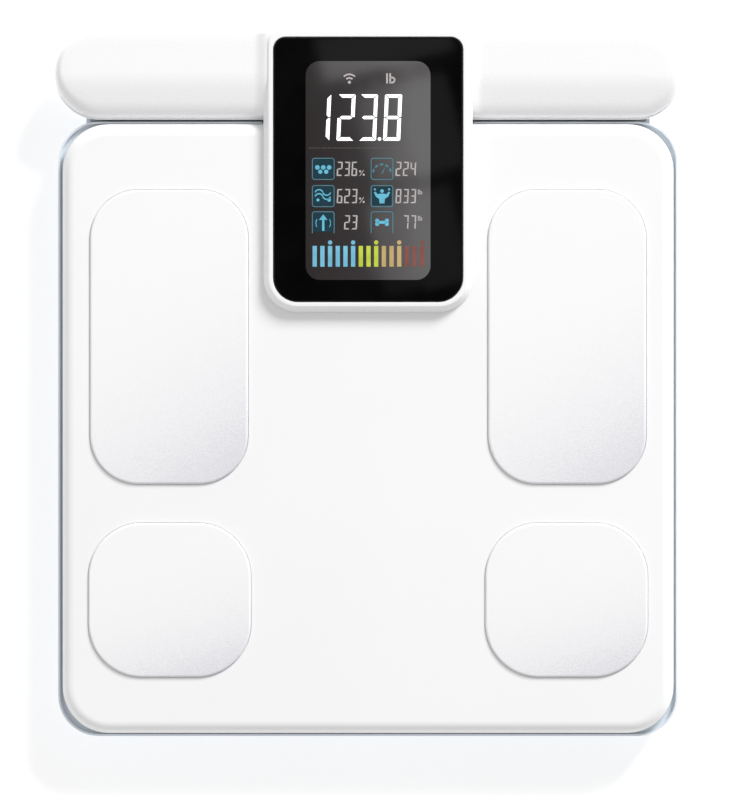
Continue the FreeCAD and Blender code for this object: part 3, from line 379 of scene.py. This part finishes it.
def loft(name, rings, close_bottom=True, strip_ends=None):
    """A mesh through rings of (x, y, z) points in millimetres, capped at the top."""
    work = bmesh.new()
    layers = [[work.verts.new((x * MM, y * MM, z * MM)) for x, y, z in ring] for ring in rings]
    for lower, upper in zip(layers, layers[1:]):
        add_walls(work, lower, upper)
    if close_bottom:
        work.faces.new(list(reversed(layers[0])))
    if strip_ends:
        strip_cap(work, layers[-1], strip_ends)
    else:
        work.faces.new(layers[-1])
    return into_mesh(work, name)


def level_ring(points, z):
    return [(x, y, z) for x, y in points]


def thicken(piece, millimetres):
    """Gives an open skin a wall inside it."""
    wall = piece.modifiers.new("wall", "SOLIDIFY")
    wall.thickness = millimetres * MM
    wall.offset = -1


def prisms(name, outlines, low, high):
    """One mesh of separate flat plates, from anticlockwise outlines in millimetres."""
    work = bmesh.new()
    for outline in outlines:
        under = [work.verts.new((x * MM, y * MM, low * MM)) for x, y in outline]
        over = [work.verts.new((x * MM, y * MM, high * MM)) for x, y in outline]
        work.faces.new(over)
        work.faces.new(list(reversed(under)))
        add_walls(work, under, over)
    return into_mesh(work, name)


# ---------------------------------------------------------------- handle's upper shell

_, BAR_END, _, BAR_BACK, _, SEAM = span("handle_bottom_shell")
BAR_DEPTH = 44.9
BAR_FRONT = BAR_BACK - BAR_DEPTH
BAR_MIDDLE = (BAR_FRONT + BAR_BACK) / 2
BAR_TOP = 28.5
WING_INNER = 36.0
WING_WALL, HOUSING_WALL = 1.8, 1.0
# The crown loses this share of its height at the front edge, over this depth.
LEAN, LEAN_REACH = 0.37, 21
# Beside the housing the crown rises, from RISE_START outwards, and falls off beyond BLEND_START.
BLEND_START, BLEND_REACH, BLEND_RISE = 49.0, 7.0, 1.9
RISE_START, RISE_REACH = 44.5, 3
# How far the shoulder comes in at the front, the back and the end, and each further step over the crown.
SHOULDER = (8.0, 3.2, 4.5)
CROWN_STEP = (3.6, 4.75, 4.4)
SHOULDER_STEPS, CROWN_STEPS, CORNER_STEPS = 12, 4, 16


def ease(t):
    """0 below t = 0 and 1 above t = 1, smoothly between."""
    t = min(max(t, 0.0), 1.0)
    return t * t * (3 - 2 * t)


def wing_point(x, y, z):
    """Leans the crown down to the front edge and lifts it where it meets the display housing."""
    forward = ease((BAR_MIDDLE - 1 - y) / LEAN_REACH)
    height = (z - SEAM) * (1 - LEAN * forward)
    near = 1 - ease((abs(x) - BLEND_START) / BLEND_REACH)
    near *= ease((abs(x) - RISE_START) / RISE_REACH)
    height += BLEND_RISE * near * ease((z - SEAM) / 6)
    y += 0.8 * ease((BAR_MIDDLE - y) / 20)
    return x, y, SEAM + height


def make_wing(word, side):
    """One half of the bar's upper skin: its shoulder is broad in front, narrow behind and at the end."""
    # insets from the front, back and end, and the share of the crown's height
    places = []
    for k in range(SHOULDER_STEPS + 1):
        turn = math.radians(90 * k / SHOULDER_STEPS)
        inwards = 1 - math.cos(turn)
        places.append((*(inset * inwards for inset in SHOULDER), math.sin(turn) ** 0.9))
    for k in range(1, CROWN_STEPS + 1):
        places.append((*(inset + step * k for inset, step in zip(SHOULDER, CROWN_STEP)), 1.0))
    rings = []
    for front, back, end, rise in places:
        x_low, x_high = (WING_INNER, BAR_END - end) if side > 0 else (end - BAR_END, -WING_INNER)
        radius = (BAR_DEPTH - front - back) / 2 - 0.02
        points = rounded_outline(x_low, x_high, BAR_FRONT + front, BAR_BACK - back, radius, radius,
                                 steps=CORNER_STEPS, along=90, square_end=-side)
        rings.append([wing_point(x, y, SEAM + (BAR_TOP - SEAM) * rise) for x, y in points])
    mesh = loft(f"wing_{word}", rings, close_bottom=False, strip_ends=2 * CORNER_STEPS + 1)
    piece = finish_piece(f"handle_wing_{word}", mesh, MATERIALS["shell_white"], "shell_white",
                         "handle_top_shell")
    thicken(piece, WING_WALL)


def make_display_surround():
    """The display's housing: a skirt over the panel, a sloping wall, a narrow rim and the glass's seat."""
    x_low, x_high, y_low, y_high, _, z_high = LENS
    back = BAR_BACK + 0.5
    # how far out from the glass at the sides and front, how far in from the back, corner radii, height
    steps = ((2.3, 0.9, 14, 8, SEAM), (2.3, 1.7, 14, 8, 26.2), (4.9, 1.7, 16.5, 10, 26.35),
             (4.95, 1.6, 16.5, 10, 26.75), (4.75, 1.4, 16.2, 10, 27.05), (4.1, 0.8, 15.6, 9.5, 28.4),
             (3.3, 0.3, 15, 9, 29.7), (2.85, 0.0, 14.6, 8.6, 30.35), (2.6, 0.15, 14.4, 8.4, 30.72),
             (2.25, 0.45, 14, 8, 30.94), (1.85, 0.85, 13.7, 7.7, z_high))
    rings = []
    for out, short, front_corner, back_corner, z in steps:
        points = rounded_outline(x_low - out, x_high + out, y_low - out, back - short,
                                 front_corner, back_corner)
        rings.append(level_ring(points, z))
    for out, z in ((0.45, z_high), (0.25, z_high - 0.2), (0.2, z_high - 1.2)):
        points = rounded_outline(x_low - out, x_high + out, y_low - out, y_high + out, 12 + out, 6 + out)
        rings.append(level_ring(points, z))
    piece = finish_piece("display_surround", loft("surround", rings, close_bottom=False),
                         MATERIALS["shell_white"], "shell_white", "handle_top_shell")
    thicken(piece, HOUSING_WALL)


make_wing("left", -1)
make_wing("right", 1)
make_display_surround()


# ---------------------------------------------------------------- display glass and window

def make_glass():
    """The glass plate, with worn edges; gives the level of its face."""
    x_low, x_high, y_low, y_high, z_low, z_high = LENS
    glass_top = z_high - 0.1
    rings = []
    for inset, z in ((0.3, z_low), (0.0, z_low + 0.3), (0.0, glass_top - 0.35), (0.1, glass_top - 0.12),
                     (0.35, glass_top), (1.0, glass_top)):
        points = rounded_outline(x_low + inset, x_high - inset, y_low + inset, y_high - inset,
                                 12 - inset, 6 - inset)
        rings.append(level_ring(points, z))
    finish_piece("display_glass", loft("glass", rings), MATERIALS["black_glass"], "black_glass",
                 "display_lens")
    return glass_top


GLASS_TOP = make_glass()
INK_LOW = GLASS_TOP + 0.005
INK_TOP = GLASS_TOP + 0.04


def make_window():
    middle_x, middle_y = WINDOW_MIDDLE
    half_w, half_d = WINDOW_WIDTH / 2, WINDOW_DEPTH / 2
    outline = rounded_outline(middle_x - half_w, middle_x + half_w, middle_y - half_d, middle_y + half_d, 7, 7)
    mesh = prisms("window", [outline], GLASS_TOP - 0.3, GLASS_TOP + 0.01)
    finish_piece("display_window", mesh, window_material(), "lcd_glass")


make_window()


# ---------------------------------------------------------------- display artwork

SEGMENTS = {"1": "bc", "2": "abged", "3": "abgcd", "4": "fgbc", "6": "afgedc", "7": "abc", "8": "abcdefg"}


def digit_outlines(text, x, y, width, height, pitch, stroke, slant, gap):
    """Seven-segment figures with mitred segments; x, y is the first figure's lower left corner."""
    thin = stroke * 0.95
    middle = height / 2
    shapes = {
        "a": [(0, height), (thin, height - thin), (width - thin, height - thin), (width, height)],
        "d": [(0, 0), (width, 0), (width - thin, thin), (thin, thin)],
        "g": [(stroke * 0.45, middle), (stroke, middle - thin / 2), (width - stroke, middle - thin / 2),
              (width - stroke * 0.45, middle), (width - stroke, middle + thin / 2),
              (stroke, middle + thin / 2)],
        "f": [(0, height), (0, middle), (stroke * 0.5, middle), (stroke, middle + thin / 2),
              (stroke, height - stroke)],
        "e": [(0, middle), (0, 0), (stroke, stroke), (stroke, middle - thin / 2), (stroke * 0.5, middle)],
        "b": [(width, middle), (width, height), (width - stroke, height - stroke),
              (width - stroke, middle + thin / 2), (width - stroke * 0.5, middle)],
        "c": [(width, 0), (width, middle), (width - stroke * 0.5, middle), (width - stroke, middle - thin / 2),
              (width - stroke, stroke)],
    }
    outlines = []
    for index, figure in enumerate(text):
        for segment in SEGMENTS.get(figure, ""):
            points = shapes[segment]
            centre = Vector((sum(p[0] for p in points), sum(p[1] for p in points))) / len(points)
            drawn = []
            for u, v in points:
                inwards = centre - Vector((u, v))
                moved = Vector((u, v)) + inwards.normalized() * gap
                drawn.append((x + index * pitch + moved.x + slant * moved.y, y + moved.y))
            outlines.append(drawn)
    return outlines


def box_outline(x, y, width, height):
    return [(x, y), (x + width, y), (x + width, y + height), (x, y + height)]


def disc_outline(x, y, radius, steps=20):
    return [(x + radius * math.cos(2 * math.pi * k / steps), y + radius * math.sin(2 * math.pi * k / steps))
            for k in range(steps)]


def arc_outline(x, y, radius, width, start, end, steps=14):
    """A band along an arc, from start to end in degrees."""
    angles = [math.radians(start + (end - start) * k / steps) for k in range(steps + 1)]
    far, close = radius + width / 2, radius - width / 2
    outer = [(x + far * math.cos(a), y + far * math.sin(a)) for a in angles]
    inner = [(x + close * math.cos(a), y + close * math.sin(a)) for a in angles]
    return outer + inner[::-1]


def frame_outlines(x, y, width, height, line, corner, open_below):
    """A thin rounded frame as four sides and its corner arcs."""
    pieces = [box_outline(x, y + corner, line, height - 2 * corner),
              box_outline(x + width - line, y + corner, line, height - 2 * corner),
              box_outline(x + corner, y + height - line, width - 2 * corner, line),
              arc_outline(x + corner, y + height - corner, corner - line / 2, line, 90, 180, 6),
              arc_outline(x + width - corner, y + height - corner, corner - line / 2, line, 0, 90, 6)]
    if open_below:
        pieces += [box_outline(x, y, line, corner), box_outline(x + width - line, y, line, corner)]
    else:
        pieces += [box_outline(x + corner, y, width - 2 * corner, line),
                   arc_outline(x + corner, y + corner, corner - line / 2, line, 180, 270, 6),
                   arc_outline(x + width - corner, y + corner, corner - line / 2, line, 270, 360, 6)]
    return pieces


def percent_outlines(x, y, size):
    """A small per-cent sign."""
    ring = size * 0.21
    line = size * 0.13
    slash = [(x, y), (x + line, y), (x + size * 0.8, y + size), (x + size * 0.8 - line, y + size)]
    return [slash, disc_outline(x + ring * 0.6, y + size - ring, ring * 0.9, 10),
            disc_outline(x + size * 0.8 - ring * 0.3, y + ring, ring * 0.9, 10)]


def pound_outlines(x, y, size, stroke):
    """The unit mark lb."""
    bowl = size * 0.34
    stem = x + stroke * 1.8
    return [box_outline(x, y, stroke, size), box_outline(stem, y, stroke, size),
            arc_outline(stem + stroke * 0.55 + bowl / 2, y + bowl, bowl - stroke / 2, stroke, -135, 135, 16)]


# Everything on the display is placed from the window's middle.
CX, CY = WINDOW_MIDDLE


def at(u, v):
    return CX + u, CY + v


def make_art(name, outlines, material, low=INK_LOW, high=INK_TOP):
    finish_piece(name, prisms(name, outlines, low, high), material, "lcd_glass")


WHITE = lit("segment_white", (0.95, 0.96, 1.0), 1.0)
SOFT_WHITE = lit("segment_soft_white", (0.37, 0.345, 0.345), 0.5)
GREY = lit("segment_grey", (0.13, 0.12, 0.12), 0.3)
PALE_BLUE = lit("segment_pale_blue", (0.1, 0.36, 0.48), 0.5)
DIM_BLUE = lit("segment_dim_blue", (0.06, 0.17, 0.22), 0.5)
DEEP_BLUE = lit("icon_ground", (0.006, 0.03, 0.045), 0.4)
CHART_BLUE = lit("bar_blue", (0.13, 0.36, 0.49), 0.5)
CHART_GREEN = lit("bar_green", (0.39, 0.46, 0.045), 0.5)
CHART_TAN = lit("bar_tan", (0.42, 0.3, 0.13), 0.5)
CHART_RED = lit("bar_red", (0.17, 0.06, 0.05), 0.5)

# weight reading
BIG = {"width": 8.5, "height": 22.9, "pitch": 11.0, "stroke": 1.9, "slant": 0.045, "gap": 0.28}
BIG_LEVEL = 14.6
reading = []
for figures, u in (("1", -27.6), ("23", -15.6), ("8", 7.3)):
    reading += digit_outlines(figures, *at(u, BIG_LEVEL), **BIG)
make_art("display_weight", reading + [disc_outline(*at(5.6, 15.5), 0.85)], WHITE)
make_art("display_unit", pound_outlines(*at(8.9, 42.8), 5.0, 0.85), SOFT_WHITE)

# a wireless mark: two arcs over a dot
radio_x, radio_y = at(-9.2, 43.4)
make_art("display_wireless", [disc_outline(radio_x, radio_y, 0.75),
                              arc_outline(radio_x, radio_y, 2.1, 0.75, 45, 135),
                              arc_outline(radio_x, radio_y, 3.9, 0.75, 45, 135)], SOFT_WHITE)

# dotted rule under the reading
make_art("display_rule", [box_outline(*at(-29 + 1.16 * k, 10.9), 0.6, 0.32) for k in range(50)], GREY)

# three rows of two icons, each with a reading
ICON = 11.1
LEFT_COLUMN, RIGHT_COLUMN = -27.6, 1.3
ROWS = (-4.6, -18.0, -30.9)
frames, grounds = [], []
for row, v in enumerate(ROWS):
    for u in (LEFT_COLUMN, RIGHT_COLUMN):
        frames += frame_outlines(*at(u, v), ICON, ICON - 0.3, 0.42, 1.3, open_below=row == 2)
make_art("display_icon_frames", frames, DIM_BLUE)
for u, v in ((LEFT_COLUMN, ROWS[0]), (LEFT_COLUMN, ROWS[1]), (RIGHT_COLUMN, ROWS[1]), (LEFT_COLUMN, ROWS[2])):
    grounds.append(box_outline(*at(u + 0.8, v + 0.8), ICON - 1.6, ICON - 1.9))
make_art("display_icon_grounds", grounds, DEEP_BLUE, low=GLASS_TOP - 0.1, high=INK_LOW + 0.012)

SMALL_RIGHT, SMALL_UP = 12.1, 1.9
SMALL = {"width": 2.75, "height": 7.0, "pitch": 3.62, "stroke": 0.72, "slant": 0.05, "gap": 0.07}
READINGS = ((LEFT_COLUMN, 0, "236"), (RIGHT_COLUMN, 0, "224"), (LEFT_COLUMN, 1, "623"),
            (RIGHT_COLUMN, 1, "833"), (LEFT_COLUMN, 2, " 23"), (RIGHT_COLUMN, 2, " 77"))
numbers = []
for u, row, text in READINGS:
    numbers += digit_outlines(text, *at(u + SMALL_RIGHT, ROWS[row] + SMALL_UP), **SMALL)
for row in (0, 1):
    numbers += percent_outlines(*at(LEFT_COLUMN + 23.3, ROWS[row] + SMALL_UP), 2.9)
for row in (1, 2):
    numbers += pound_outlines(*at(RIGHT_COLUMN + 23.2, ROWS[row] + 6.2), 2.4, 0.4)
make_art("display_readings", numbers, SOFT_WHITE)


def icon_middle(column, row):
    return at(column + ICON / 2, ROWS[row] + ICON / 2 - 0.15)


def cell_row_icon(x, y):
    """Two rows of rounded cells."""
    cells = []
    for k in (-1, 0, 1):
        cells.append(disc_outline(x + 2.9 * k, y + 0.7, 1.15, 14))
    for k in (-0.5, 0.5):
        cells.append(disc_outline(x + 2.9 * k, y - 1.4, 1.05, 14))
    return cells


def gauge_icon(x, y):
    """A dial with a pointer."""
    pointer = [(x - 0.35, y - 2.2), (x + 0.35, y - 2.2), (x + 1.9, y + 1.6)]
    ticks = [arc_outline(x, y - 2.2, 4.4, 0.9, a, a + 22, 4) for a in (10, 46, 82, 118, 152)]
    return [pointer, *ticks]


def water_icon(x, y):
    """Two waves over a row of drops."""
    waves = []
    for k in range(2):
        waves += [arc_outline(x - 2.1, y + 1.2 - 2.0 * k, 2.0, 0.6, 20, 160, 8),
                  arc_outline(x + 1.7, y + 2.4 - 2.0 * k, 2.0, 0.6, 200, 340, 8)]
    return waves + [disc_outline(x - 2.6, y - 1.9, 0.75, 10), disc_outline(x + 2.9, y - 1.9, 0.9, 10)]


def torso_icon(x, y):
    """A head over a body that tapers to a waist, with both arms raised."""
    half = [(-1.2, -3.6), (-1.4, -1.4), (-3.1, -0.2), (-4.0, 1.9), (-3.1, 2.2), (-2.2, 0.9), (-0.9, 1.2)]
    body = [(x + u, y + v) for u, v in half] + [(x - u, y + v) for u, v in reversed(half)]
    return [body[::-1], disc_outline(x, y + 2.5, 0.9, 12)] + [disc_outline(x + 3.5 * k, y + 3.3, 0.55, 10)
                                                             for k in (-1, 1)]


def arrow_icon(x, y):
    """An arrow up between two brackets."""
    arrow = [(x - 0.55, y - 4.2), (x + 0.55, y - 4.2), (x + 0.55, y + 1.2), (x + 2.1, y + 1.2), (x, y + 3.9),
             (x - 2.1, y + 1.2), (x - 0.55, y + 1.2)]
    return [arrow, arc_outline(x + 0.3, y - 0.4, 3.9, 0.35, 150, 210, 8),
            arc_outline(x - 0.3, y - 0.4, 3.9, 0.35, -30, 30, 8)]


def bone_icon(x, y):
    """A short bone, lying level."""
    shaft = [(x - 2.0, y - 0.7), (x + 2.0, y - 0.7), (x + 2.0, y + 0.7), (x - 2.0, y + 0.7)]
    return [shaft] + [disc_outline(x + 2.4 * s, y + 0.85 * t, 1.0, 12) for s in (-1, 1) for t in (-1, 1)]


make_art("display_icons", cell_row_icon(*icon_middle(LEFT_COLUMN, 0)) + water_icon(*icon_middle(LEFT_COLUMN, 1))
         + torso_icon(*icon_middle(RIGHT_COLUMN, 1)) + arrow_icon(*icon_middle(LEFT_COLUMN, 2))
         + bone_icon(*icon_middle(RIGHT_COLUMN, 2)), PALE_BLUE)
make_art("display_gauge_icon", gauge_icon(*icon_middle(RIGHT_COLUMN, 0)), DIM_BLUE)

# fifteen bars, with a dot over every third
CHART_START, CHART_LEVEL, CHART_PITCH = -27.3, -47.3, 3.78
CHART_WIDTH, CHART_HEIGHT, CHART_DOT_LEVEL = 2.1, 10.2, -35.4
for first, count, material, word in ((0, 6, CHART_BLUE, "blue"), (6, 3, CHART_GREEN, "green"),
                                     (9, 3, CHART_TAN, "tan"), (12, 3, CHART_RED, "red")):
    bars = []
    for k in range(first, first + count):
        u = CHART_START + CHART_PITCH * k
        bars.append(box_outline(*at(u, CHART_LEVEL), CHART_WIDTH, CHART_HEIGHT))
        if k % 3 == 2:
            bars.append(disc_outline(*at(u + CHART_WIDTH / 2, CHART_DOT_LEVEL), CHART_WIDTH / 2))
    make_art(f"display_bars_{word}", bars, material)


# ---------------------------------------------------------------- studio

FLOOR_REACH, FLOOR_GLOW = 4.0, 0.36
WORLD_STRENGTH = 0.6
# The camera looks at this point of the panel's level, and takes in this much from top to bottom, in metres.
VIEW_MIDDLE, VIEW_LEVEL, VIEW_DEPTH = (0.0007, -0.0089), 0.026, 0.3944
CARD_LEVEL, CARD_SLANT = 2.6, math.radians(14)


def make_floor():
    """A white floor that glows a little, so that shadows on it stay pale."""
    mesh = bpy.data.meshes.new("floor")
    reach = FLOOR_REACH
    mesh.from_pydata([(-reach, -reach, 0), (reach, -reach, 0), (reach, reach, 0), (-reach, reach, 0)], [],
                     [(0, 1, 2, 3)])
    floor = bpy.data.objects.new("floor", mesh)
    bpy.context.scene.collection.objects.link(floor)
    paint = moulded("floor_paint", (0.93, 0.93, 0.935), 0.7, grain=300.0, depth=0.02, tint=0.01)
    glow = paint.node_tree.nodes["Principled BSDF"]
    glow.inputs["Emission Color"].default_value = (1, 1, 1, 1)
    glow.inputs["Emission Strength"].default_value = FLOOR_GLOW
    mesh.materials.append(paint)


def add_area_light(name, place, target, width, height, power):
    light = bpy.data.lights.new(name, "AREA")
    light.shape = "RECTANGLE"
    light.size, light.size_y = width, height
    light.energy = power
    lamp = bpy.data.objects.new(name, light)
    lamp.location = place
    lamp.rotation_mode = "QUATERNION"
    lamp.rotation_quaternion = (Vector(target) - Vector(place)).to_track_quat("-Z", "Y")
    bpy.context.scene.collection.objects.link(lamp)
    return lamp


def make_world():
    """A white studio whose ceiling darkens overhead, so that level glass doesn't mirror white."""
    world = bpy.data.worlds.new("studio")
    world.use_nodes = True
    tree = world.node_tree
    background = tree.nodes["Background"]
    colour = ramp(tree, box_place(tree)["Z"],
                  [(0.0, (1.0, 1.0, 1.0)), (0.92, (1.0, 1.0, 1.0)), (0.985, (0.1, 0.1, 0.1)),
                   (1.0, (0.04, 0.04, 0.04))])
    tree.links.new(colour, background.inputs["Color"])
    background.inputs["Strength"].default_value = WORLD_STRENGTH
    bpy.context.scene.world = world


def make_camera():
    """Looks straight down at the scale from far off, with the handle at the top of the view.

    The view is taller than it is wide, so the sensor's width lies along its height.
    """
    camera = bpy.data.cameras.new("camera")
    camera.lens = 200
    camera.clip_end = 100
    rig = bpy.data.objects.new("camera", camera)
    rig.location = (*VIEW_MIDDLE, VIEW_DEPTH * camera.lens / camera.sensor_width + VIEW_LEVEL)
    bpy.context.scene.collection.objects.link(rig)
    bpy.context.scene.camera = rig


def add_glass_reflections():
    """Small cards overhead, each seen only as a soft grey patch in the glass.

    A patch's place and size are given on the glass in millimetres, from its middle.
    """
    camera = bpy.context.scene.camera.location
    grow = 1 + CARD_LEVEL / camera.z
    # patch middle x and y, width, depth, radiance
    for name, x, y, width, depth, radiance in (
            ("top", 8, 62.5, 66, 22, 0.75), ("upper_right", 31, 22.5, 26, 46, 0.55),
            ("upper_wide", 20, 21.5, 46, 45, 0.35), ("lower_right", 34, -33, 24, 48, 0.45),
            ("lower_wide", 24, -34, 42, 46, 0.3)):
        glass_x, glass_y = x * MM, (CY + y) * MM
        place = (glass_x + (glass_x - camera.x) * (grow - 1), glass_y + (glass_y - camera.y) * (grow - 1),
                 CARD_LEVEL)
        across, deep = width * MM * grow, depth * MM * grow
        card = add_area_light(f"card_{name}", place, (place[0], place[1], 0), across, deep,
                              radiance * math.pi * across * deep)
        card.rotation_mode = "XYZ"
        card.rotation_euler = (0, 0, CARD_SLANT)


make_floor()
make_world()
add_area_light("key", place=(2.6, 4.0, 2.35), target=(0, 0, 0), width=1.5, height=1.5, power=290)
add_area_light("fill", place=(-1.6, -0.6, 1.8), target=(0, 0, 0), width=1.6, height=1.6, power=5)
make_camera()
add_glass_reflections()
bpy.context.scene.view_settings.view_transform = "Standard"
